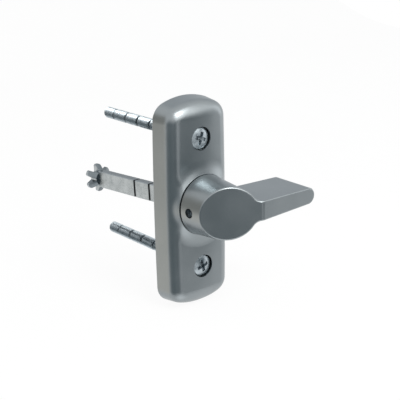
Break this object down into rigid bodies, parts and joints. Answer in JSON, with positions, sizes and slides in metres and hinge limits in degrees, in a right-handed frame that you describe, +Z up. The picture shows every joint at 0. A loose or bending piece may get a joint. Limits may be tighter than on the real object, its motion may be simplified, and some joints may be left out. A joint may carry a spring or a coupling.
{
  "type": "lever thumb turn",
  "caption": "Satin silver lever thumb turn on a long rounded escutcheon, with a star-ended tail bar and snap-off fixing screws through the door.",
  "frame": {"origin": "on the lever's turning axis, in the plane of the escutcheon's back rim, which lies on the door, midway between the fixing screws", "axes": "+X to the right along the escutcheon's width, the way the lever points at rest; +Y into the door along the turning axis, the tail bar and the screws; +Z up along the escutcheon's height"},
  "size_m": [0.0598, 0.1036, 0.0898],
  "materials": {
    "satin_silver": "satin silver over a zinc die casting",
    "zinc_steel": "bright zinc-plated steel",
    "spring_steel": "oiled spring steel",
    "black_steel": "black oxide steel",
    "acetal": "moulded natural acetal"
  },
  "bodies": {
    "base": {"escutcheon": "satin_silver", "bearing_bush": "acetal", "spring_washer": "spring_steel", "fixing_screw_upper": "zinc_steel", "fixing_screw_lower": "zinc_steel"},
    "turn": {"lever": "satin_silver", "grub_screw": "black_steel", "thrust_washer": "zinc_steel", "circlip": "spring_steel"},
    "tail": {"tail_bar": "zinc_steel"}
  },
  "joints": [
    {"name": "lever_turn", "type": "hinge", "parent": "base", "child": "turn", "pos_m": [0, 0, 0], "axis": [0, 1, 0], "range_deg": [-90, 90]},
    {"name": "tail_float", "type": "hinge", "parent": "turn", "child": "tail", "pos_m": [0, -0.0182, 0], "axis": [1, 0, 0], "range_deg": [0, 8]}
  ]
}
